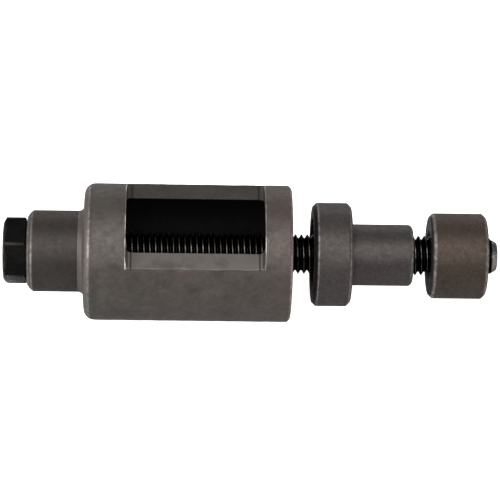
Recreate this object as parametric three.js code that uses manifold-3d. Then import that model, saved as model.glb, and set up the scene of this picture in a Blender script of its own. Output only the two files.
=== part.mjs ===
import * as THREE from 'three';
import { mergeVertices } from 'three/addons/utils/BufferGeometryUtils.js';
import Module from 'manifold-3d';

// Screw press for ball joints and bushes: a receiving cup with a side window, a long hex-head
// forcing screw through it, a stepped pressing piece and a sleeve nut that draws it in.
// Lengths are in millimetres. The common axis runs along +X, from the screw's head to its tip.
// The cup lies on the plane z = 0 with its window facing up.

// Forcing screw: right-hand metric coarse thread, cut nearly to the head
const pitch = 1.75;
const threadRadius = 5.9;
const threadDepthShare = 0.6;
const flankAngle = THREE.MathUtils.degToRad(30);
const screwLength = 140;
const neckLength = 2.5;
const threadStart = 0.42;
const tipTaperLength = 3;
const tipRadius = 4.1;
const headAcrossFlats = 18;
const headHeight = 6.8;
const headChamferAngle = THREE.MathUtils.degToRad(30);
const washerFaceHeight = 0.1;
const washerFaceRadius = 8.9;
const headTurn = THREE.MathUtils.degToRad(28.3);

// Receiving cup, turned in one piece with its collar
const boreRadius = 16.1;
const cupWall = 4.25;
const cupLength = 61.25;
const floorThickness = 5;
const collarRadius = 12.1;
const collarLength = 16.8;
const collarChamferLength = 1.75;
const collarChamferHeight = 1.8;
const collarFilletRadius = 1.8;
const shoulderRadius = 3.1;
const mouthEdgeBreak = 0.8;
const boreCornerRadius = 1;

// Window: a flat milled across the cup until it breaks into the bore
const windowLength = 40.8;
const windowToMouth = 8.05;
const windowBreakthrough = 3.8;
const windowCornerRadius = 1.6;

// Stepped pressing piece: a cupped flange that enters the bore, and a barrel behind it
const flangeClearance = 0.65;
const flangeLength = 11.4;
const flangeRim = 4.5;
const recessDepth = 5.5;
const flangeEdgeBreak = 1.15;
const barrelRadius = 9.15;
const barrelLength = 18.5;
const barrelEndRadius = 1.4;
const stepFilletRadius = 0.5;

// Sleeve nut on the tip of the screw
const nutRadius = 12.75;
const nutLength = 16.8;
const nutEdgeBreak = 1.1;
const nutCountersink = 1;

// Clearances and the places of the pieces along the screw
const bearingGap = 0.25;
const screwHoleClearance = 0.6;
const pressBoreClearance = 0.5;
const threadCrestGap = 0.5;
const threadFlankGap = 0.3;
const nutToTip = 3.5;
const pressToNut = 5;

// Facets around the axis
const roundFacets = 60;
const smallFacets = 40;
const threadFacets = 12;

// Sizes that follow
const cupRadius = boreRadius + cupWall;
const axisHeight = cupRadius * Math.cos(Math.PI / roundFacets);
const screwHoleRadius = threadRadius + screwHoleClearance;
const threadRoot = threadRadius - threadDepthShare * pitch;
const neckRadius = threadRoot - 0.1;
const crestFlat = pitch / 8;
const flangeRadius = boreRadius - flangeClearance;
const pressBoreRadius = threadRadius + pressBoreClearance;
const totalLength = headHeight + screwLength;
const cupStart = headHeight + bearingGap;
const nutStart = totalLength - nutToTip - nutLength;
const pressStart = nutStart - pressToNut - barrelLength - flangeLength;

const wasm = await Module();
wasm.setup();

// A closed three.js geometry as a solid that can be joined and cut
function toSolid(geometry) {
  const bare = (geometry.index ? geometry.toNonIndexed() : geometry).clone();
  bare.deleteAttribute('normal');
  bare.deleteAttribute('uv');
  const merged = mergeVertices(bare);
  const corners = merged.index.array;
  const triangles = [];
  for (let i = 0; i < corners.length; i += 3) {
    const [a, b, c] = corners.slice(i, i + 3);
    if (a !== b && b !== c && c !== a) triangles.push(a, b, c);
  }
  return new wasm.Manifold(new wasm.Mesh({
    numProp: 3,
    vertProperties: Float32Array.from(merged.getAttribute('position').array),
    triVerts: Uint32Array.from(triangles),
  }));
}

function toGeometry(solid) {
  const mesh = solid.getMesh();
  const geometry = new THREE.BufferGeometry();
  geometry.setAttribute('position', new THREE.BufferAttribute(mesh.vertProperties, 3));
  geometry.setIndex(new THREE.BufferAttribute(mesh.triVerts, 1));
  geometry.computeVertexNormals();
  return geometry;
}

// Points of an arc in a turning profile, where x is the radius and y runs along the axis
function arc(x, y, radius, fromDegrees, toDegrees, steps) {
  return Array.from({ length: steps + 1 }, (_, i) => {
    const angle = THREE.MathUtils.degToRad(fromDegrees + (toDegrees - fromDegrees) * i / steps);
    return [x + radius * Math.cos(angle), y + radius * Math.sin(angle)];
  });
}

// A solid of revolution about +X, with one facet facing straight down
function turned(profile, facets) {
  const points = profile.map(([radius, along]) => new THREE.Vector2(radius, along));
  const lathe = new THREE.LatheGeometry(points, facets, Math.PI / facets);
  return toSolid(lathe.rotateZ(-Math.PI / 2));
}

// One pitch of a thread's ridge: [distance along the axis, radius] at root and crest
function threadProfile(crestRadius, rootRadius, flankGap) {
  const crestHalf = crestFlat / 2 + flankGap + (threadRadius - crestRadius) * Math.tan(flankAngle);
  const rootHalf = crestHalf + (crestRadius - rootRadius) * Math.tan(flankAngle);
  return [
    [-rootHalf, rootRadius],
    [-crestHalf, crestRadius],
    [crestHalf, crestRadius],
    [rootHalf, rootRadius],
  ];
}

// A right-hand threaded rod from below `start` to past `end`, closed by a fan at each end.
// Its phase depends only on the distance from x = 0, so screw and nut are in mesh.
function threadedRod(profile, start, end) {
  const firstTurn = Math.floor(start / pitch) - 2;
  const turns = Math.ceil(end / pitch) + 2 - firstTurn;
  const rows = turns * profile.length;
  const vertices = [];
  const triangles = [];
  const at = (row, facet) => facet === threadFacets
    ? (row + profile.length) * threadFacets
    : row * threadFacets + facet;
  for (let row = 0; row <= rows + profile.length; row += 1) {
    const [along, radius] = profile[row % profile.length];
    const turn = firstTurn + Math.floor(row / profile.length);
    for (let facet = 0; facet < threadFacets; facet += 1) {
      const share = facet / threadFacets;
      const angle = 2 * Math.PI * share;
      const crest = (turn + share + threadStart) * pitch;
      vertices.push(crest + along, radius * Math.cos(angle), radius * Math.sin(angle));
    }
  }
  for (let row = 0; row < rows; row += 1) {
    for (let facet = 0; facet < threadFacets; facet += 1) {
      const [a, b] = [at(row, facet), at(row, facet + 1)];
      const [c, d] = [at(row + 1, facet), at(row + 1, facet + 1)];
      triangles.push(a, b, d, a, d, c);
    }
  }
  const rim = (row) => [
    ...Array.from({ length: threadFacets }, (_, facet) => at(row, facet)),
    ...Array.from({ length: profile.length }, (_, step) => at(row + profile.length - step, 0)),
  ];
  const fan = (row, turn, outward) => {
    const centre = vertices.length / 3;
    vertices.push((turn + 0.5 + threadStart) * pitch, 0, 0);
    const loop = rim(row);
    loop.forEach((corner, i) => {
      const next = loop[(i + 1) % loop.length];
      triangles.push(...(outward ? [centre, corner, next] : [centre, next, corner]));
    });
  };
  fan(0, firstTurn, false);
  fan(rows, firstTurn + turns, true);
  const geometry = new THREE.BufferGeometry();
  geometry.setAttribute('position', new THREE.Float32BufferAttribute(vertices, 3));
  geometry.setIndex(triangles);
  return toSolid(geometry);
}

function hexHead() {
  const cornerRadius = headAcrossFlats / 2 / Math.cos(Math.PI / 6);
  const hexHeight = headHeight - washerFaceHeight;
  const prism = new THREE.CylinderGeometry(cornerRadius, cornerRadius, hexHeight, 6);
  prism.rotateZ(-Math.PI / 2).translate(hexHeight / 2, 0, 0).rotateX(headTurn);
  const chamferRadius = headAcrossFlats / 2 * 0.95;
  const chamferHeight = (cornerRadius - chamferRadius) * Math.tan(headChamferAngle);
  const envelope = turned([
    [0, 0],
    [chamferRadius, 0],
    [cornerRadius, chamferHeight],
    [cornerRadius, hexHeight],
    [washerFaceRadius, hexHeight],
    [washerFaceRadius, headHeight],
    [0, headHeight],
  ], smallFacets);
  const washerFace = turned([
    [0, hexHeight - washerFaceHeight],
    [washerFaceRadius, hexHeight - washerFaceHeight],
    [washerFaceRadius, headHeight],
    [0, headHeight],
  ], smallFacets);
  return toSolid(prism).intersect(envelope).add(washerFace);
}

function forcingScrew() {
  const thread = threadedRod(threadProfile(threadRadius, threadRoot, 0), headHeight, totalLength);
  const clearOfCrest = threadRadius + 1;
  const tipTaper = (threadRadius - tipRadius) / tipTaperLength;
  const neckEnd = headHeight + neckLength;
  const envelope = turned([
    [0, headHeight - washerFaceHeight],
    [neckRadius, headHeight - washerFaceHeight],
    [neckRadius, neckEnd],
    [clearOfCrest, neckEnd + clearOfCrest - neckRadius],
    [clearOfCrest, totalLength - (clearOfCrest - tipRadius) / tipTaper],
    [tipRadius, totalLength],
    [0, totalLength],
  ], threadFacets);
  return thread.intersect(envelope).add(hexHead());
}

function windowCutter() {
  const end = cupStart + collarLength + cupLength - windowToMouth;
  const start = end - windowLength;
  const flat = boreRadius - windowBreakthrough;
  const top = cupRadius + 1;
  const outline = new THREE.Shape();
  outline.moveTo(start, top);
  outline.lineTo(start, flat + windowCornerRadius);
  outline.absarc(start + windowCornerRadius, flat + windowCornerRadius, windowCornerRadius,
    Math.PI, 1.5 * Math.PI, false);
  outline.absarc(end - windowCornerRadius, flat + windowCornerRadius, windowCornerRadius,
    1.5 * Math.PI, 2 * Math.PI, false);
  outline.lineTo(end, top);
  const depth = 2 * cupRadius + 2;
  const cutter = new THREE.ExtrudeGeometry(outline, { depth, bevelEnabled: false, curveSegments: 4 });
  return toSolid(cutter.rotateX(Math.PI / 2).translate(0, depth / 2, 0));
}

function receivingCup() {
  const shoulder = cupStart + collarLength;
  const mouth = shoulder + cupLength;
  const floor = shoulder + floorThickness;
  const blank = turned([
    [screwHoleRadius, cupStart],
    [collarRadius - collarChamferHeight, cupStart],
    [collarRadius - collarChamferHeight / 3, cupStart + collarChamferLength / 2],
    [collarRadius, cupStart + collarChamferLength],
    ...arc(collarRadius + collarFilletRadius, shoulder - collarFilletRadius, collarFilletRadius, 180, 90, 4),
    ...arc(cupRadius - shoulderRadius, shoulder + shoulderRadius, shoulderRadius, -90, 0, 5),
    [cupRadius, mouth - mouthEdgeBreak],
    [cupRadius - mouthEdgeBreak, mouth],
    [boreRadius + mouthEdgeBreak / 2, mouth],
    [boreRadius, mouth - mouthEdgeBreak / 2],
    ...arc(boreRadius - boreCornerRadius, floor + boreCornerRadius, boreCornerRadius, 0, -90, 3),
    [screwHoleRadius, floor],
    [screwHoleRadius, cupStart],
  ], roundFacets);
  return blank.subtract(windowCutter());
}

function pressingPiece() {
  const step = pressStart + flangeLength;
  const end = step + barrelLength;
  const recessRadius = flangeRadius - flangeRim;
  const recessFloor = pressStart + recessDepth;
  return turned([
    [recessRadius, pressStart],
    [flangeRadius - flangeEdgeBreak, pressStart],
    [flangeRadius, pressStart + flangeEdgeBreak],
    [flangeRadius, step - flangeEdgeBreak],
    [flangeRadius - flangeEdgeBreak, step],
    ...arc(barrelRadius + stepFilletRadius, step + stepFilletRadius, stepFilletRadius, 270, 180, 2),
    ...arc(barrelRadius - barrelEndRadius, end - barrelEndRadius, barrelEndRadius, 0, 90, 4),
    [pressBoreRadius, end],
    [pressBoreRadius, recessFloor],
    [recessRadius, recessFloor],
    [recessRadius, pressStart],
  ], smallFacets);
}

function sleeveNut() {
  const end = nutStart + nutLength;
  const crest = threadRadius + threadCrestGap;
  const blank = turned([
    [0, nutStart],
    [nutRadius - nutEdgeBreak, nutStart],
    [nutRadius, nutStart + nutEdgeBreak],
    [nutRadius, end - nutEdgeBreak],
    [nutRadius - nutEdgeBreak, end],
    [0, end],
  ], smallFacets);
  const countersink = (face, inward) => {
    const mouth = crest + nutCountersink;
    const profile = [[0, face - inward], [mouth + 1, face - inward], [0, face + inward * mouth]];
    return turned(inward > 0 ? profile : profile.reverse(), smallFacets);
  };
  const threadCut = threadedRod(
    threadProfile(crest, threadRoot + threadCrestGap, threadFlankGap), nutStart, end);
  return blank.subtract(threadCut).subtract(countersink(nutStart, 1)).subtract(countersink(end, -1));
}

const finishes = {
  phosphated: new THREE.MeshStandardMaterial({ color: 0x4a4643, roughness: 0.55, metalness: 0.75 }),
  machined: new THREE.MeshStandardMaterial({ color: 0x4d4644, roughness: 0.5, metalness: 0.75 }),
  blackOxide: new THREE.MeshStandardMaterial({ color: 0x111112, roughness: 0.4, metalness: 0.7 }),
};

function piece(name, solid, finish) {
  const mesh = new THREE.Mesh(toGeometry(solid), finish);
  mesh.name = name;
  mesh.position.set(-totalLength / 2, 0, axisHeight);
  return mesh;
}

const press = new THREE.Group();
press.add(
  piece('receiving_cup', receivingCup(), finishes.phosphated),
  piece('forcing_screw', forcingScrew(), finishes.blackOxide),
  piece('pressing_piece', pressingPiece(), finishes.machined),
  piece('sleeve_nut', sleeveNut(), finishes.machined),
);

export default press;
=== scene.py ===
import math

import bmesh
import bpy
from mathutils import Matrix, Vector


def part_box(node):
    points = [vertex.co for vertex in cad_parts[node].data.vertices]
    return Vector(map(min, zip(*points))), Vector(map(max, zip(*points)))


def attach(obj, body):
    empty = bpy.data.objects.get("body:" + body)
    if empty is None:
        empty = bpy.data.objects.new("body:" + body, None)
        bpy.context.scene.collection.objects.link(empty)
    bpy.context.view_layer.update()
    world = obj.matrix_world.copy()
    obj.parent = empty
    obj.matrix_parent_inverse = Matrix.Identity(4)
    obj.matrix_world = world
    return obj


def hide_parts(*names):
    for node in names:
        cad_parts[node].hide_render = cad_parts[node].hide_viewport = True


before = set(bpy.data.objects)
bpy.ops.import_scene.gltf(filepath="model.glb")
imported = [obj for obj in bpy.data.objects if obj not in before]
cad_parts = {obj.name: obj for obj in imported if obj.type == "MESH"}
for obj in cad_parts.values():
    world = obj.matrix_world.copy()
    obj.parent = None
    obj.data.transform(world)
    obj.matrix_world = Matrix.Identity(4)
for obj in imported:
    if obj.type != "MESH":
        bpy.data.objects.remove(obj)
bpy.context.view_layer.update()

# The studio. A white table carries the tool, under large softboxes above and in front of it
# and weaker ones behind it and at its ends. The camera looks down at the window from the
# front, far enough away that the round faces hardly open, and a little from the head's side.
nut_low, nut_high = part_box("sleeve_nut")
axis_height = (nut_low.z + nut_high.z) / 2
table_height = -0.00004
table_size = 6
table_tone = 0.68
room_light = 0.3
bpy.context.scene.view_settings.view_transform = "Standard"

bpy.ops.object.select_all(action="DESELECT")
bpy.ops.mesh.primitive_plane_add(size=table_size, location=(0, 0, table_height))
table = bpy.context.object
table.name = "table"
bpy.ops.object.transform_apply(location=True)
table_white = bpy.data.materials.new("table_white")
table_white.use_nodes = True
table_shader = table_white.node_tree.nodes["Principled BSDF"]
table_shader.inputs["Base Color"].default_value = (*[table_tone] * 3, 1)
table_shader.inputs["Roughness"].default_value = 0.9
table_shader.inputs["Specular IOR Level"].default_value = 0.1
table_shader.inputs["Emission Color"].default_value = (1, 1, 1, 1)
seen_directly = table_white.node_tree.nodes.new("ShaderNodeLightPath").outputs["Is Camera Ray"]
table_white.node_tree.links.new(seen_directly, table_shader.inputs["Emission Strength"])
table.data.materials.append(table_white)

room = bpy.data.worlds.new("studio_room")
room.use_nodes = True
room.node_tree.nodes["Background"].inputs["Color"].default_value = (1, 1, 1, 1)
room.node_tree.nodes["Background"].inputs["Strength"].default_value = room_light
bpy.context.scene.world = room


def softbox(name, place, width, height, power):
    """An area light that faces the middle of the tool."""
    light = bpy.data.lights.new(name, "AREA")
    light.shape = "RECTANGLE"
    light.size, light.size_y, light.energy = width, height, power
    lamp = bpy.data.objects.new(name, light)
    bpy.context.scene.collection.objects.link(lamp)
    aim = Vector((0, 0, axis_height)) - Vector(place)
    turn = aim.to_track_quat("-Z", "Y").to_matrix().to_4x4()
    lamp.matrix_world = Matrix.Translation(place) @ turn


softbox("overhead_softbox", (0.0, -0.22, 0.98), 0.9, 0.55, 9.5)
softbox("front_softbox", (0.0, -0.85, 0.9), 0.9, 0.3, 6.6)
softbox("back_softbox", (0.0, 1.0, 0.25), 0.9, 0.25, 3.8)
softbox("head_end_softbox", (-0.85, -0.25, 0.35), 0.5, 0.5, 7)
softbox("tip_end_softbox", (0.9, -0.3, 0.4), 0.4, 0.5, 4)

camera_distance = 0.7455
camera_height_angle = math.radians(50.5)
camera_side_angle = math.radians(-1.97)
camera_roll = math.radians(0.75)
camera_target = Vector((-0.00027, 0.0007, axis_height + 0.00075))
camera = bpy.data.objects.new("camera", bpy.data.cameras.new("camera"))
bpy.context.scene.collection.objects.link(camera)
camera.data.sensor_width = 36
camera.data.lens = 180
towards_camera = Vector((
    math.sin(camera_side_angle),
    -math.cos(camera_side_angle) * math.cos(camera_height_angle),
    math.cos(camera_side_angle) * math.sin(camera_height_angle),
))
camera_up = towards_camera.cross(Vector((1, 0, 0))).normalized()
camera_right = camera_up.cross(towards_camera)
camera_turn = Matrix((camera_right, camera_up, towards_camera)).transposed().to_4x4()
camera.matrix_world = (
    Matrix.Translation(camera_target + towards_camera * camera_distance)
    @ camera_turn
    @ Matrix.Rotation(camera_roll, 4, "Z")
)
bpy.context.scene.camera = camera


# The receiving cup. Dark grey phosphated steel, turned in one piece with the collar that
# carries it on the screw. A flat is milled across the cup until it breaks into the bore,
# which leaves a window between two lands. The edges are worn bright where they get knocked.
cup_low, cup_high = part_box("receiving_cup")
cup_bore_radius = 0.0161
cup_radius = 0.02035
collar_radius = 0.0121
collar_length = 0.0168
collar_chamfer = 0.0018
collar_fillet = 0.0018
shoulder_round = 0.0031
cup_floor_thickness = 0.005
bore_corner_round = 0.001
screw_hole_radius = 0.0065
window_length = 0.0408
window_to_mouth = 0.00805
window_land_height = 0.0123
window_corner_round = 0.0016
small_round = 0.0003
mouth_edge_break = 0.0008
mouth_bore_break = 0.0004
broken_edge = 0.00022
ring_steps = 240


def rounded(corners, steps=5, rest=0.00015):
    """Points of an outline whose corners (along, radius, rounding) are rounded off."""
    points = []
    for i, (along, radius, rounding) in enumerate(corners):
        corner = Vector((along, radius))
        if not rounding:
            points.append(tuple(corner))
            continue
        back = (Vector(corners[i - 1][:2]) - corner).normalized()
        ahead = (Vector(corners[(i + 1) % len(corners)][:2]) - corner).normalized()
        half = back.angle(ahead) / 2
        reach = rounding / math.tan(half)
        centre = corner + (back + ahead).normalized() * rounding / math.sin(half)
        begin = (corner + back * reach - centre).normalized()
        finish = (corner + ahead * reach - centre).normalized()
        if rest:
            points.append(tuple(corner + back * (reach + min(rest, reach / 2))))
        for step in range(steps + 1):
            points.append(tuple(centre + begin.slerp(finish, step / steps) * rounding))
        if rest:
            points.append(tuple(corner + ahead * (reach + min(rest, reach / 2))))
    return points


def turned(name, outline, solid=False):
    """A turned shape: a ring about the screw's axis, extruded from point to point."""
    bpy.ops.object.select_all(action="DESELECT")
    along, radius = outline[0]
    bpy.ops.mesh.primitive_circle_add(
        vertices=ring_steps, radius=radius, fill_type="NGON" if solid else "NOTHING",
        location=(along, 0, axis_height), rotation=(0, math.pi / 2, 0))
    piece = bpy.context.object
    piece.name = piece.data.name = name
    bpy.ops.object.transform_apply(location=True, rotation=True)
    bpy.ops.object.mode_set(mode="EDIT")
    bpy.ops.mesh.select_all(action="SELECT")
    for next_along, next_radius in outline[1:] + ([] if solid else outline[:1]):
        bpy.ops.mesh.extrude_region_move(
            TRANSFORM_OT_translate={"value": (next_along - along, 0, 0)})
        growth = next_radius / radius
        bpy.ops.transform.resize(
            value=(1, growth, growth), center_override=(next_along, 0, axis_height))
        along, radius = next_along, next_radius
    close_up()
    bpy.ops.object.mode_set(mode="OBJECT")
    return piece


def close_up():
    """Merge what lies together and point every face outwards, in edit mode."""
    bpy.ops.mesh.select_all(action="SELECT")
    bpy.ops.mesh.remove_doubles(threshold=0.000001)
    bpy.ops.mesh.normals_make_consistent(inside=False)


def apply_modifier(piece, kind, **settings):
    """Add one modifier, set it and apply it."""
    modifier = piece.modifiers.new(kind.lower(), kind)
    for setting, value in settings.items():
        setattr(modifier, setting, value)
    bpy.ops.object.select_all(action="DESELECT")
    bpy.context.view_layer.objects.active = piece
    piece.select_set(True)
    bpy.ops.object.modifier_apply(modifier=modifier.name)


def cut_or_join(piece, other, operation):
    """Cut the other shape out of a piece, keep what they share, or join them."""
    apply_modifier(piece, "BOOLEAN", operation=operation, object=other, solver="MANIFOLD")
    bpy.data.objects.remove(other)


def smooth_faces(piece, degrees=32):
    """Shade a finished piece smooth, except across its real edges."""
    bpy.ops.object.select_all(action="DESELECT")
    bpy.context.view_layer.objects.active = piece
    piece.select_set(True)
    bpy.ops.object.shade_smooth_by_angle(angle=math.radians(degrees))


def select_edges(piece, wanted):
    """In edit mode, select the edges whose ends both pass a test of their place."""
    bpy.ops.mesh.select_mode(type="EDGE")
    bpy.ops.mesh.select_all(action="DESELECT")
    shape = bmesh.from_edit_mesh(piece.data)
    for edge in shape.edges:
        edge.select_set(all(wanted(corner.co) for corner in edge.verts))
    bmesh.update_edit_mesh(piece.data)


collar_face, cup_mouth = cup_low.x, cup_high.x
cup_shoulder = collar_face + collar_length
cup_floor = cup_shoulder + cup_floor_thickness
forging_ring_spacing = 0.0012
forging_ring_count = 46
receiving_cup = turned("cup_body", rounded([
    (collar_face, screw_hole_radius, small_round),
    (collar_face, collar_radius - collar_chamfer, small_round),
    (collar_face + collar_chamfer / 2, collar_radius - collar_chamfer / 3, 0.0004),
    (collar_face + collar_chamfer, collar_radius, 0.0004),
    (cup_shoulder, collar_radius, collar_fillet),
    (cup_shoulder, cup_radius, shoulder_round),
    *[(cup_shoulder + shoulder_round + forging_ring_spacing * ring, cup_radius, 0)
      for ring in range(1, forging_ring_count + 1)],
    (cup_mouth - mouth_edge_break, cup_radius, 0.0005),
    (cup_mouth, cup_radius - mouth_edge_break, 0.0002),
    (cup_mouth, cup_bore_radius + mouth_bore_break, 0.0001),
    (cup_mouth - mouth_bore_break, cup_bore_radius, 0.0001),
    (cup_floor, cup_bore_radius, bore_corner_round),
    (cup_floor, screw_hole_radius, small_round),
]))

# its outside is a forging's, a little uneven, most of all along the front land's edge
uneven_depth = 0.0008
uneven_elsewhere = 0.25
uneven_fade = 0.003
smooth_at_mouth = 0.0015
uneven = bpy.data.textures.new("forging_skin", "CLOUDS")
uneven.noise_scale = 0.004
uneven.noise_depth = 3
outside = receiving_cup.vertex_groups.new(name="outside")
land_level = axis_height + window_land_height
for corner in receiving_cup.data.vertices:
    place = corner.co
    if (cup_shoulder + shoulder_round < place.x < cup_mouth - smooth_at_mouth
            and math.hypot(place.y, place.z - axis_height) > cup_radius - 0.0001):
        off_land = abs(place.z - land_level) if place.y < 0 else 1
        amount = max(uneven_elsewhere, 1 - off_land / uneven_fade)
        outside.add([corner.index], amount, "REPLACE")
apply_modifier(receiving_cup, "DISPLACE", texture=uneven, texture_coords="LOCAL",
               vertex_group="outside", mid_level=0.5, strength=uneven_depth)

window_end = cup_mouth - window_to_mouth
window_middle = window_end - window_length / 2
cutter_width, cutter_height = 0.05, 0.012
bpy.ops.object.select_all(action="DESELECT")
bpy.ops.mesh.primitive_cube_add(
    size=1, scale=(window_length, cutter_width, cutter_height),
    location=(window_middle, 0, land_level + cutter_height / 2))
window_cutter = bpy.context.object
bpy.ops.object.transform_apply(location=True, rotation=True, scale=True)
bpy.ops.object.mode_set(mode="EDIT")
for side in (-1, 1):
    select_edges(window_cutter, lambda place: (place.x - window_middle) * side > 0
                 and place.z < land_level + 0.001)
    bpy.ops.mesh.bevel(offset=window_corner_round, segments=10)
bpy.ops.object.mode_set(mode="OBJECT")
cut_or_join(receiving_cup, window_cutter, "DIFFERENCE")
apply_modifier(receiving_cup, "BEVEL", width=broken_edge, segments=3, limit_method="ANGLE",
               angle_limit=math.radians(36), harden_normals=False, use_clamp_overlap=True)
smooth_faces(receiving_cup)


def add_node(tree, kind, inputs=None, **settings):
    """Add a shader node, with its settings, and link or set its inputs."""
    node = tree.nodes.new(kind)
    for setting, value in settings.items():
        setattr(node, setting, value)
    for socket, value in (inputs or {}).items():
        if isinstance(value, bpy.types.NodeSocket):
            tree.links.new(value, node.inputs[socket])
        else:
            node.inputs[socket].default_value = value
    return node


def add_group(tree, group, inputs):
    """Add one of the node groups made below, and give the sockets its values leave by."""
    return add_node(tree, "ShaderNodeGroup", inputs, node_tree=group).outputs


def maths(tree, operation, first, second=0.0, third=0.0):
    """The result of one arithmetic node."""
    inputs = {0: first, 1: second, 2: third}
    return add_node(tree, "ShaderNodeMath", inputs, operation=operation).outputs[0]


def product(tree, first, second):
    """Two values, or two masks, multiplied."""
    return maths(tree, "MULTIPLY", first, second)


def apart(tree, value, level):
    """How far a value is from a level, whichever is the larger."""
    return maths(tree, "ABSOLUTE", maths(tree, "SUBTRACT", value, level))


def between(tree, value, low, high, new_low=0.0, new_high=1.0):
    """A value read on a new scale, and held at its ends."""
    inputs = {"Value": value, "From Min": low, "From Max": high,
              "To Min": new_low, "To Max": new_high}
    return add_node(tree, "ShaderNodeMapRange", inputs).outputs["Result"]


def blended(tree, factor, first, second):
    """Two colours mixed by a mask."""
    mix = add_node(tree, "ShaderNodeMix", {"Factor": factor}, data_type="RGBA")
    for socket, value in ((6, first), (7, second)):
        if isinstance(value, bpy.types.NodeSocket):
            tree.links.new(value, mix.inputs[socket])
        else:
            mix.inputs[socket].default_value = (*value, 1)
    return mix.outputs[2]


def shader_group(name, inputs, outputs):
    """An empty node group with named sockets, and the inner ends of those sockets."""
    group = bpy.data.node_groups.new(name, "ShaderNodeTree")
    for label, value in inputs.items():
        kind = "NodeSocketVector" if label == "Vector" else "NodeSocketFloat"
        socket = group.interface.new_socket(label, in_out="INPUT", socket_type=kind)
        if value is not None:
            socket.default_value = value
    for label in outputs:
        group.interface.new_socket(label, in_out="OUTPUT", socket_type="NodeSocketFloat")
    entry = group.nodes.new("NodeGroupInput")
    way_out = group.nodes.new("NodeGroupOutput")
    return group, entry.outputs, way_out.inputs


# distance along the screw's axis, distance from it, and angle about it
place_group, given, result = shader_group(
    "place_about_axis", {"Vector": None}, ["Along", "Radius", "Angle"])
parts = add_node(place_group, "ShaderNodeSeparateXYZ", {0: given["Vector"]}).outputs
height = maths(place_group, "SUBTRACT", parts["Z"], axis_height)
spoke = add_node(place_group, "ShaderNodeCombineXYZ", {"Y": parts["Y"], "Z": height}).outputs[0]
spoke_length = add_node(place_group, "ShaderNodeVectorMath", {0: spoke}, operation="LENGTH")
place_group.links.new(parts["X"], result["Along"])
place_group.links.new(spoke_length.outputs["Value"], result["Radius"])
place_group.links.new(maths(place_group, "ARCTAN2", height, parts["Y"]), result["Angle"])

# fine rings left by the lathe tool, on round and end faces alike
marks_group, given, result = shader_group(
    "turning_marks", {"Along": 0.0, "Radius": 0.0, "Angle": 0.0, "Spacing": 0.0003}, ["Height"])
spread = add_node(marks_group, "ShaderNodeCombineXYZ", {
    "X": maths(marks_group, "DIVIDE", given["Along"], given["Spacing"]),
    "Y": maths(marks_group, "DIVIDE", given["Radius"], given["Spacing"]),
    "Z": product(marks_group, given["Angle"], 0.8)}).outputs[0]
rings = add_node(marks_group, "ShaderNodeTexNoise",
                 {"Vector": spread, "Scale": 1.0, "Detail": 2.0})
marks_group.links.new(rings.outputs["Fac"], result["Height"])

# fine specks of a given size; more of them as the coverage rises from 0 to 1
speck_group, given, result = shader_group(
    "coating_specks", {"Vector": None, "Size": 0.0004, "Coverage": 0.4}, ["Mask"])
grain = add_node(speck_group, "ShaderNodeTexNoise", {
    "Vector": given["Vector"], "Scale": maths(speck_group, "DIVIDE", 1.0, given["Size"]),
    "Detail": 3.0, "Roughness": 0.65})
level = maths(speck_group, "MULTIPLY_ADD", given["Coverage"], -0.35, 0.68)
speck = between(speck_group, grain.outputs["Fac"], level,
                maths(speck_group, "ADD", level, 0.1))
speck_group.links.new(speck, result["Mask"])

# broad soft patches where the coating took darker or lighter
patch_group, given, result = shader_group(
    "coating_patches", {"Vector": None, "Size": 0.01}, ["Value"])
cloud = add_node(patch_group, "ShaderNodeTexNoise", {
    "Vector": given["Vector"], "Scale": maths(patch_group, "DIVIDE", 1.0, given["Size"]),
    "Detail": 4.0, "Roughness": 0.6})
patch_group.links.new(between(patch_group, cloud.outputs["Fac"], 0.32, 0.68), result["Value"])

# bare metal on a turned edge, strongest on the edge itself
worn_group, given, result = shader_group(
    "worn_edge", {"Along": 0.0, "Radius": 0.0, "Edge Along": 0.0, "Edge Radius": 0.0,
                  "Width": 0.0004}, ["Mask"])
off_along = maths(worn_group, "SUBTRACT", given["Along"], given["Edge Along"])
off_radius = maths(worn_group, "SUBTRACT", given["Radius"], given["Edge Radius"])
offset = add_node(
    worn_group, "ShaderNodeCombineXYZ", {"X": off_along, "Y": off_radius}).outputs[0]
distance = add_node(worn_group, "ShaderNodeVectorMath", {0: offset}, operation="LENGTH")
worn_group.links.new(
    between(worn_group, distance.outputs["Value"], 0.0, given["Width"], 1.0, 0.0),
    result["Mask"])

# one inside a stretch of the axis and a range of radius, and nothing outside it
inside_group, given, result = shader_group(
    "inside_stretch", {"Along": 0.0, "Radius": 0.0, "Start": 0.0, "End": 0.0,
                       "Inner Radius": 0.0, "Outer Radius": 0.0}, ["Mask"])
limits = [
    maths(inside_group, "GREATER_THAN", given["Along"], given["Start"]),
    maths(inside_group, "LESS_THAN", given["Along"], given["End"]),
    maths(inside_group, "GREATER_THAN", given["Radius"], given["Inner Radius"]),
    maths(inside_group, "LESS_THAN", given["Radius"], given["Outer Radius"]),
]
within = limits[0]
for limit in limits[1:]:
    within = product(inside_group, within, limit)
inside_group.links.new(within, result["Mask"])


def inside(tree, place, start, end, inner, outer):
    """A mask of one stretch of the axis and one range of radius."""
    return add_group(tree, inside_group, {
        "Along": place["Along"], "Radius": place["Radius"], "Start": start, "End": end,
        "Inner Radius": inner, "Outer Radius": outer})["Mask"]


def whereabouts(tree):
    """The point that is shaded, and its place about the screw's axis."""
    here = add_node(tree, "ShaderNodeTexCoord").outputs["Object"]
    return here, add_group(tree, place_group, {"Vector": here})


def coat(piece, finish):
    """Give a piece one finish all over, in place of what its making left behind."""
    piece.data.materials.clear()
    piece.data.materials.append(finish)


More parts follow.
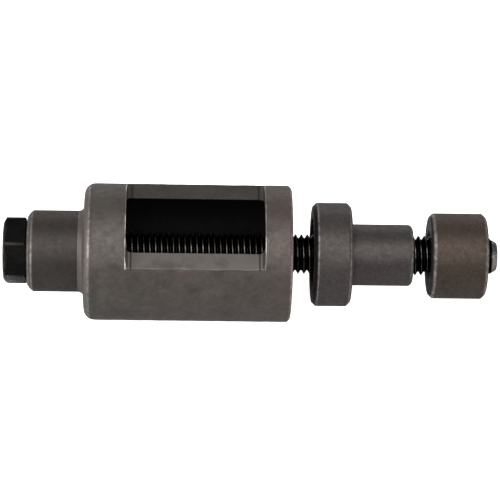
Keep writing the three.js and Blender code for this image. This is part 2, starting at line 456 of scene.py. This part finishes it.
def retone(steel, mask, tone):
    """Mix another tone into a finish where a mask says."""
    shader = steel.node_tree.nodes["Principled BSDF"]
    colour = shader.inputs["Base Color"].links[0].from_socket
    steel.node_tree.links.new(blended(steel.node_tree, mask, colour, tone),
                              shader.inputs["Base Color"])


darkening_black = (0.004, 0.004, 0.004)
small_patch_share, speck_share = 0.2, 0.5
polish_of_wear = 0.12


def coated_steel(name, tones, patch_size, speck_size, specks, marks, bumps, roughness,
                 metallic, worn_tone, worn_edges, dark_places=()):
    """Coated steel: patches and specks in its tones, lathe marks, bare worn edges, and
    places darkened towards black, most of them painted shade in hollows and recesses."""
    steel = bpy.data.materials.new(name)
    steel.use_nodes = True
    tree = steel.node_tree
    shader = tree.nodes["Principled BSDF"]
    here, place = whereabouts(tree)
    patch, small_patch = [
        add_group(tree, patch_group, {"Vector": here, "Size": size})["Value"]
        for size in (patch_size, patch_size / 7)]
    speck = add_group(tree, speck_group, {
        "Vector": here, "Size": speck_size, "Coverage": specks})["Mask"]
    turning = add_group(tree, marks_group, {
        "Along": place["Along"], "Radius": place["Radius"], "Angle": place["Angle"],
        "Spacing": marks})["Height"]
    dark, middle, light = tones
    colour = blended(tree, patch, dark, middle)
    colour = blended(tree, product(tree, small_patch, small_patch_share), colour, light)
    colour = blended(tree, product(tree, speck, speck_share), colour, light)
    # each dark place mixes in near black by its amount; most are painted shade
    for *limits, amount in dark_places:
        scale = product(tree, inside(tree, place, *limits), amount)
        colour = blended(tree, scale, colour, darkening_black)
    worn = 0.0
    for edge_along, edge_radius, width, strength in worn_edges:
        edge = add_group(tree, worn_group, {
            "Along": place["Along"], "Radius": place["Radius"], "Edge Along": edge_along,
            "Edge Radius": edge_radius, "Width": width})["Mask"]
        worn = maths(tree, "MAXIMUM", worn, product(tree, edge, strength))
    worn = product(tree, worn, between(tree, small_patch, 0.2, 0.85, 0.3, 1.0))
    colour = blended(tree, worn, colour, worn_tone)
    rough = between(tree, small_patch, 0.0, 1.0, roughness + 0.06, roughness - 0.05)
    rough = maths(tree, "MULTIPLY_ADD", worn, -polish_of_wear, rough)
    tree.links.new(colour, shader.inputs["Base Color"])
    tree.links.new(rough, shader.inputs["Roughness"])
    shader.inputs["Metallic"].default_value = metallic
    shader.inputs["Specular Tint"].default_value = (0.4, 0.4, 0.4, 1)
    shader.inputs["Specular IOR Level"].default_value = 0.35
    relief = 0.0
    for unevenness, height in zip((turning, speck, small_patch), bumps):
        relief = maths(tree, "MULTIPLY_ADD", unevenness, height, relief)
    bump = add_node(tree, "ShaderNodeBump", {"Height": relief, "Distance": 1.0})
    tree.links.new(bump.outputs["Normal"], shader.inputs["Normal"])
    return steel


phosphated_steel = coated_steel(
    "phosphated_steel",
    tones=((0.046, 0.0375, 0.034), (0.06, 0.0525, 0.0475), (0.108, 0.095, 0.087)),
    patch_size=0.01, speck_size=0.00042, specks=0.3, marks=0.0003,
    bumps=(0.000004, 0.000004, 0.00003), roughness=0.54, metallic=0.6,
    worn_tone=(0.5, 0.48, 0.45),
    worn_edges=(
        (cup_shoulder + 0.00155, cup_radius - 0.0004, 0.0006, 0.5),
        (cup_mouth - 0.0004, cup_radius - 0.0004, 0.0006, 0.6),
        (collar_face + 0.0005, collar_radius - 0.0012, 0.0006, 0.35),
        (collar_face + 0.0014, collar_radius - 0.0003, 0.0004, 0.3),
    ),
    dark_places=(
        # painted shade: the bore's inside, darkened nearly black
        (cup_shoulder, cup_mouth - 0.0006, 0.0, cup_bore_radius + 0.00012, 0.9),
        # the collar's round face, darkened
        (collar_face + 0.0019, cup_shoulder - 0.0018, 0.01, collar_radius + 0.0002, 0.47),
    ))

# the coat took unevenly, brownish here and at the mouth and greenish there, and the shoulder
# is painted lighter, partly clean turned steel and partly painted light where the end lamp
# falls
mouth_brown, clean_lit_grey = (0.076, 0.054, 0.051), (0.13, 0.113, 0.103)
tree = phosphated_steel.node_tree
here, place = whereabouts(tree)
on_forging = product(
    tree, between(tree, place["Along"], cup_shoulder - 0.002, cup_shoulder, 0.3),
    maths(tree, "GREATER_THAN", place["Radius"], cup_bore_radius + 0.00015))
for shift, size, amount, tone in (
        ((0.11, 0.05, 0.02), 0.016, 0.5, (0.077, 0.055, 0.051)),
        ((0.03, 0.17, 0.08), 0.011, 0.45, (0.057, 0.06, 0.049)),
        ((0.2, 0.02, 0.13), 0.005, 0.45, (0.034, 0.031, 0.029)),
        ((0.07, 0.23, 0.05), 0.0022, 0.25, (0.092, 0.078, 0.07))):
    moved = add_node(
        tree, "ShaderNodeVectorMath", {0: here, 1: shift}, operation="ADD").outputs[0]
    blotches = add_group(tree, patch_group, {"Vector": moved, "Size": size})["Value"]
    blotch = between(tree, blotches, 0.5, 0.95, 0.0, amount)
    retone(phosphated_steel, product(tree, blotch, on_forging), tone)
near_mouth = between(tree, place["Along"], window_end - 0.004, cup_mouth, 0.0, 0.32)
retone(phosphated_steel, product(tree, on_forging, near_mouth), mouth_brown)
# painted light on the shoulder band, together with its clean turned steel
clean_and_lit_shoulder = inside(tree, place, cup_shoulder - 0.0018, cup_shoulder + 0.0015,
                      collar_radius - 0.0002, cup_radius + 0.001)
retone(phosphated_steel, product(tree, clean_and_lit_shoulder, 0.55), clean_lit_grey)

# the window's end edges are worn bright; its front land is painted lighter as painted light,
# with dirt patches on it; its back land is painted darker as painted shade, and a painted shade
# line runs along its corners
worn_bright, front_land_painted_light = (0.5, 0.465, 0.43), (0.14, 0.126, 0.116)
grime, painted_shade_black = (0.03, 0.028, 0.025), (0.006, 0.006, 0.006)
land_margin = 0.0002
spot = add_node(tree, "ShaderNodeSeparateXYZ", {0: here}).outputs
scuffs = add_node(
    tree, "ShaderNodeTexNoise", {"Vector": here, "Scale": 160.0, "Detail": 4.0}).outputs["Fac"]
scuffed = between(tree, scuffs, 0.42, 0.6, 0.15, 1.0)
above_land = maths(tree, "GREATER_THAN", spot["Z"], land_level - 0.0003)
at_skin = between(tree, place["Radius"], cup_radius - 0.0011, cup_radius - 0.0003)
above_land = product(tree, above_land, at_skin)
for edge in (window_end - window_length, window_end):
    near_edge = between(tree, apart(tree, spot["X"], edge), 0.00005, 0.0003, 1.0, 0.0)
    worn_edge = product(tree, product(tree, near_edge, above_land), scuffed)
    retone(phosphated_steel, worn_edge, worn_bright)
off_window = apart(tree, spot["X"], window_middle)
off_level = apart(tree, spot["Z"], land_level)
between_ends = maths(tree, "LESS_THAN", off_window, window_length / 2 - 2 * land_margin)
on_land = product(tree, between_ends, maths(tree, "LESS_THAN", off_level, land_margin))
front_land = product(tree, on_land, maths(tree, "LESS_THAN", spot["Y"], 0.0))
back_land = maths(tree, "SUBTRACT", on_land, front_land)
# painted light: the front land made lighter
retone(phosphated_steel, product(tree, front_land, 0.7), front_land_painted_light)
dirt = between(tree, scuffs, 0.5, 0.7, 0.0, 0.45)
retone(phosphated_steel, product(tree, front_land, dirt), grime)
# painted shade: the back land made darker
retone(phosphated_steel, product(tree, back_land, 0.3), painted_shade_black)
# painted shade: a dark line where each corner's rounding starts
off_corner = apart(tree, off_window, window_length / 2 - window_corner_round)
at_corner = product(tree, between(tree, off_corner, 0.0001, 0.00035, 1.0, 0.0),
                    maths(tree, "LESS_THAN", off_level, 2 * land_margin))
retone(phosphated_steel, product(tree, at_corner, 0.75), painted_shade_black)
coat(receiving_cup, phosphated_steel)
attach(receiving_cup, "cup")
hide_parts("receiving_cup")


# The forcing screw. A hex-head screw of oiled black oxide steel, with a rolled metric thread
# nearly to its head. It passes through the collar and the loose pressing piece into the
# sleeve nut. The chamfered hex is forged on, above a thin washer face.
screw_low, screw_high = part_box("forcing_screw")
thread_pitch = 0.00175
thread_radius = 0.0059
thread_root_radius = thread_radius - 0.6 * thread_pitch
thread_start = 0.42
thread_neck_radius = thread_root_radius - 0.0001
thread_steps = 64
flank_slope = math.tan(math.radians(30))
head_height = 0.0068
head_washer_face = 0.0001
head_washer_radius = 0.0089
head_across_flats = 0.018
head_turn = math.radians(58.3)
neck_length = 0.0025
tip_taper_length = 0.003
tip_radius = 0.0041
tip_edge_break = 0.0002
thread_weld = 0.000002


def threaded_rod(name, crest_radius, root_radius, flank_gap, low, high):
    """A right-hand threaded rod that reaches past both ends, closed at each."""
    crest_half = thread_pitch / 16 + flank_gap + (thread_radius - crest_radius) * flank_slope
    root_half = crest_half + (crest_radius - root_radius) * flank_slope
    first_turn = math.floor((low - screw_low.x) / thread_pitch) - 2
    turns = math.ceil((high - screw_low.x) / thread_pitch) + 2 - first_turn
    crest = screw_low.x + (first_turn + thread_start) * thread_pitch
    ridge = rounded([
        (crest - thread_pitch / 2, root_radius, 0),
        (crest - root_half, root_radius, 0.00012),
        (crest - crest_half, crest_radius, 0.00006),
        (crest + crest_half, crest_radius, 0.00006),
        (crest + root_half, root_radius, 0.00012),
        (crest + thread_pitch / 2, root_radius, 0),
    ], steps=2, rest=0)
    bpy.ops.object.select_all(action="DESELECT")
    bpy.ops.mesh.primitive_plane_add(size=0.001, location=(0, 0, axis_height))
    rod = bpy.context.object
    rod.name = rod.data.name = name
    bpy.ops.object.mode_set(mode="EDIT")
    bpy.ops.mesh.select_mode(type="VERT")
    bpy.ops.mesh.select_all(action="SELECT")
    bpy.ops.mesh.merge(type="CENTER")
    along, radius = ridge[0]
    bpy.ops.transform.translate(value=(along, radius, 0))
    for next_along, next_radius in ridge[1:]:
        bpy.ops.mesh.extrude_vertices_move(
            TRANSFORM_OT_translate={"value": (next_along - along, next_radius - radius, 0)})
        along, radius = next_along, next_radius
    bpy.ops.object.mode_set(mode="OBJECT")
    apply_modifier(rod, "SCREW", axis="X", angle=2 * math.pi, screw_offset=thread_pitch,
                   iterations=turns, steps=thread_steps, render_steps=thread_steps,
                   use_merge_vertices=True, merge_threshold=thread_weld)
    bpy.ops.object.transform_apply(location=True)
    bpy.ops.object.mode_set(mode="EDIT")
    bpy.ops.mesh.select_all(action="SELECT")
    bpy.ops.mesh.remove_doubles(threshold=thread_weld)
    bpy.ops.mesh.fill_holes(sides=0)
    close_up()
    if bmesh.from_edit_mesh(rod.data).calc_volume(signed=True) < 0:
        bpy.ops.mesh.flip_normals()
    bpy.ops.object.mode_set(mode="OBJECT")
    return rod


head_face, screw_tip = screw_low.x, screw_high.x
head_seat = head_face + head_height
thread_limit = thread_radius + 0.001
forcing_screw = threaded_rod(
    "forcing_screw_body", thread_radius, thread_root_radius, 0, head_seat, screw_tip)
taper_slope = (thread_radius - tip_radius) / tip_taper_length
ring_steps = 144
screw_outline = turned("screw_outline", [
    (head_seat - head_washer_face, thread_neck_radius),
    (head_seat + neck_length, thread_neck_radius),
    (head_seat + neck_length + thread_limit - thread_neck_radius, thread_limit),
    (screw_tip - (thread_limit - tip_radius) / taper_slope, thread_limit),
    (screw_tip - tip_edge_break, tip_radius + tip_edge_break * taper_slope),
    (screw_tip, tip_radius - tip_edge_break),
], solid=True)
cut_or_join(forcing_screw, screw_outline, "INTERSECT")

hex_height = head_height - head_washer_face
corner_radius = head_across_flats / 2 / math.cos(math.pi / 6)
bpy.ops.object.select_all(action="DESELECT")
bpy.ops.mesh.primitive_cylinder_add(vertices=6, radius=corner_radius, depth=hex_height)
hex_head = bpy.context.object
hex_head.name = "hex_head"
hex_head.matrix_world = (
    Matrix.Translation((head_face + hex_height / 2, 0, axis_height))
    @ Matrix.Rotation(head_turn, 4, "X")
    @ Matrix.Rotation(math.pi / 2, 4, "Y")
)
bpy.ops.object.transform_apply(location=True, rotation=True)
chamfer_radius = head_across_flats / 2 * 0.95
chamfer_depth = corner_radius - chamfer_radius
past_corner = 0.3
seat_chamfer = 0.0004
hex_chamfer = turned("hex_chamfer", [
    (head_face, chamfer_radius),
    (head_face + chamfer_depth * flank_slope * (1 + past_corner),
     corner_radius + chamfer_depth * past_corner),
    (head_face + hex_height - 2 * seat_chamfer, corner_radius + seat_chamfer),
    (head_face + hex_height, corner_radius - seat_chamfer),
], solid=True)
cut_or_join(hex_head, hex_chamfer, "INTERSECT")
apply_modifier(hex_head, "BEVEL", width=broken_edge, segments=3, limit_method="ANGLE",
               angle_limit=math.radians(24))
washer_face = turned("washer_face", [
    (head_seat - 0.0012, head_washer_radius),
    (head_seat - head_washer_face, head_washer_radius),
    (head_seat, head_washer_radius - head_washer_face),
], solid=True)
cut_or_join(hex_head, washer_face, "UNION")
cut_or_join(forcing_screw, hex_head, "UNION")
smooth_faces(forcing_screw)

black_oxide_steel = coated_steel(
    "black_oxide_steel",
    tones=((0.008, 0.008, 0.008), (0.021, 0.02, 0.0192), (0.04, 0.038, 0.036)),
    patch_size=0.008, speck_size=0.0005, specks=0.1, marks=0.00012,
    bumps=(0.000002, 0.000003, 0.00002), roughness=0.27, metallic=1.0,
    worn_tone=(0.3, 0.29, 0.27),
    worn_edges=((head_face + 0.0004, head_across_flats / 2, 0.0008, 0.4),))

# painted shade and oil darken the thread's roots, and its crests are painted lighter, partly
# rubbed bare and partly a painted highlight
root_shade_and_dirt, crest_rub_and_glint = (0.002, 0.002, 0.002), (0.1, 0.092, 0.085)
tree = black_oxide_steel.node_tree
here, place = whereabouts(tree)
past_head = maths(tree, "GREATER_THAN", place["Along"], head_seat + 0.0002)
depth = maths(tree, "SUBTRACT", thread_radius, place["Radius"])
# painted shade in the thread's roots, with oil and dirt
shaded_dirty_root = product(tree, between(tree, depth, 0.0002, 0.0005), past_head)
retone(black_oxide_steel, shaded_dirty_root, root_shade_and_dirt)
# painted highlight on the crests, with rubbed bare metal
crest = product(tree, between(tree, depth, 0.00002, 0.00014, 1.0, 0.0), past_head)
rubs = add_node(tree, "ShaderNodeTexNoise", {"Vector": here, "Scale": 300.0, "Detail": 3.0})
rubbed_and_glinting_crest = product(tree, crest, between(tree, rubs.outputs["Fac"], 0.4, 0.62, 0.1, 0.8))
retone(black_oxide_steel, rubbed_and_glinting_crest, crest_rub_and_glint)

# the hex corners are rubbed by the wrench and carry a painted highlight that fades towards the
# seat, and the cut tip is bare
corner_rub_and_highlight, bare_steel = (0.12, 0.11, 0.1), (0.2, 0.192, 0.185)
on_head = maths(tree, "SUBTRACT", 1.0, past_head)
# painted highlight along the hex corners, with wrench wear
hex_corner = product(tree, on_head, between(
    tree, place["Radius"], corner_radius - 0.00035, corner_radius - 0.0001))
fade = between(tree, place["Along"], head_face + 0.001, head_seat - 0.001, 0.95, 0.25)
retone(black_oxide_steel, product(tree, hex_corner, fade), corner_rub_and_highlight)
bare_tip = between(tree, place["Along"], screw_tip - 0.0019, screw_tip - 0.0015)
retone(black_oxide_steel, product(tree, bare_tip, 0.8), bare_steel)
tree.links.new(blended(tree, past_head, (0.42, 0.42, 0.42), (0.35, 0.35, 0.35)),
               tree.nodes["Principled BSDF"].inputs["Specular Tint"])
coat(forcing_screw, black_oxide_steel)
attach(forcing_screw, "screw")
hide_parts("forcing_screw")


# The stepped pressing piece. Dark turned steel, slid loose on the screw with its recessed
# flange towards the cup. The flange just enters the bore, and the nut pushes on the barrel.
press_low, press_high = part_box("pressing_piece")
flange_radius = 0.01545
flange_length = 0.0114
flange_recess_radius = 0.01095
flange_recess_depth = 0.0055
flange_edge_break = 0.00115
barrel_radius = 0.00915
press_bore_radius = 0.0064
ring_steps = 200

flange_face, barrel_end = press_low.x, press_high.x
flange_step = flange_face + flange_length
pressing_piece = turned("stepped_press", rounded([
    (flange_face, flange_recess_radius, 0.00015),
    (flange_face, flange_radius - flange_edge_break, 0.00015),
    (flange_face + flange_edge_break, flange_radius, 0.00015),
    (flange_step - flange_edge_break, flange_radius, 0.0004),
    (flange_step, flange_radius - flange_edge_break, 0.0003),
    (flange_step, barrel_radius, 0.0005),
    (barrel_end, barrel_radius, 0.0013),
    (barrel_end, press_bore_radius, 0.0003),
    (flange_face + flange_recess_depth, press_bore_radius, 0.0003),
    (flange_face + flange_recess_depth, flange_recess_radius, 0.0004),
]))
smooth_faces(pressing_piece)

turned_dark_steel = coated_steel(
    "turned_dark_steel",
    tones=((0.032, 0.0275, 0.0265), (0.043, 0.037, 0.0355), (0.085, 0.074, 0.07)),
    patch_size=0.009, speck_size=0.0004, specks=0.35, marks=0.00022,
    bumps=(0.000008, 0.000004, 0.00002), roughness=0.52, metallic=0.65,
    worn_tone=(0.42, 0.4, 0.38),
    worn_edges=(
        (flange_step - 0.0004, flange_radius - 0.0003, 0.0006, 0.6),
        (barrel_end - 0.0004, barrel_radius - 0.0004, 0.0008, 0.5),
        (flange_face + flange_edge_break, flange_radius, 0.0005, 0.4),
    ),
    dark_places=(
        # painted shade: the flange's recess, darkened nearly black
        (flange_face + 0.0002, flange_face + flange_recess_depth + 0.0002,
         0.0, flange_recess_radius + 0.0001, 0.9),
        # painted shade: the flange's front edge break, darkened
        (flange_face + 0.0001, flange_face + flange_edge_break - 0.0001,
         flange_radius - flange_edge_break, flange_radius, 0.75),
    ))
coat(pressing_piece, turned_dark_steel)
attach(pressing_piece, "press")
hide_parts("pressing_piece")


# The sleeve nut. A thick brown-grey steel sleeve, turned with broken edges and tapped
# through. It is run onto the tip of the screw and draws the pressing piece to the cup.
nut_radius = 0.01275
nut_edge_break = 0.0011
nut_countersink = 0.001
nut_blank_radius = 0.003
nut_thread_play = 0.0005
nut_flank_gap = 0.0003

nut_face, nut_end = nut_low.x, nut_high.x
sleeve_nut = turned("sleeve_nut_body", rounded([
    (nut_face, nut_blank_radius, 0),
    (nut_face, nut_radius - nut_edge_break, 0.0003),
    (nut_face + nut_edge_break, nut_radius, 0.0006),
    (nut_end - nut_edge_break, nut_radius, 0.0006),
    (nut_end, nut_radius - nut_edge_break, 0.0003),
    (nut_end, nut_blank_radius, 0),
]))
nut_crest_radius = thread_radius + nut_thread_play
nut_thread = threaded_rod(
    "nut_thread", nut_crest_radius, thread_root_radius + nut_thread_play, nut_flank_gap,
    nut_face, nut_end)
cut_or_join(sleeve_nut, nut_thread, "DIFFERENCE")
mouth_radius = nut_crest_radius + nut_countersink
cone_outside, cone_inside = 0.001, 0.004
for face, inward in ((nut_face, 1), (nut_end, -1)):
    cone = [(face - inward * cone_outside, mouth_radius + cone_outside),
            (face + inward * cone_inside, mouth_radius - cone_inside)]
    countersink = turned("countersink", cone[::inward], solid=True)
    cut_or_join(sleeve_nut, countersink, "DIFFERENCE")
smooth_faces(sleeve_nut)

browned_steel = coated_steel(
    "browned_steel",
    tones=((0.0275, 0.02, 0.016), (0.0375, 0.028, 0.0225), (0.078, 0.06, 0.05)),
    patch_size=0.01, speck_size=0.0004, specks=0.35, marks=0.00025,
    bumps=(0.000007, 0.000004, 0.00003), roughness=0.52, metallic=0.6,
    worn_tone=(0.45, 0.42, 0.4),
    worn_edges=((nut_face + 0.0009, nut_radius - 0.0003, 0.0007, 0.5),
                (nut_end - 0.0006, nut_radius - 0.0006, 0.0009, 0.35)),
    # painted shade: the nut's front face and countersink, darkened
    dark_places=((nut_face - 0.0001, nut_face + 0.0006, 0.0, nut_radius, 0.65),))
coat(sleeve_nut, browned_steel)
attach(sleeve_nut, "nut")
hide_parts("sleeve_nut")
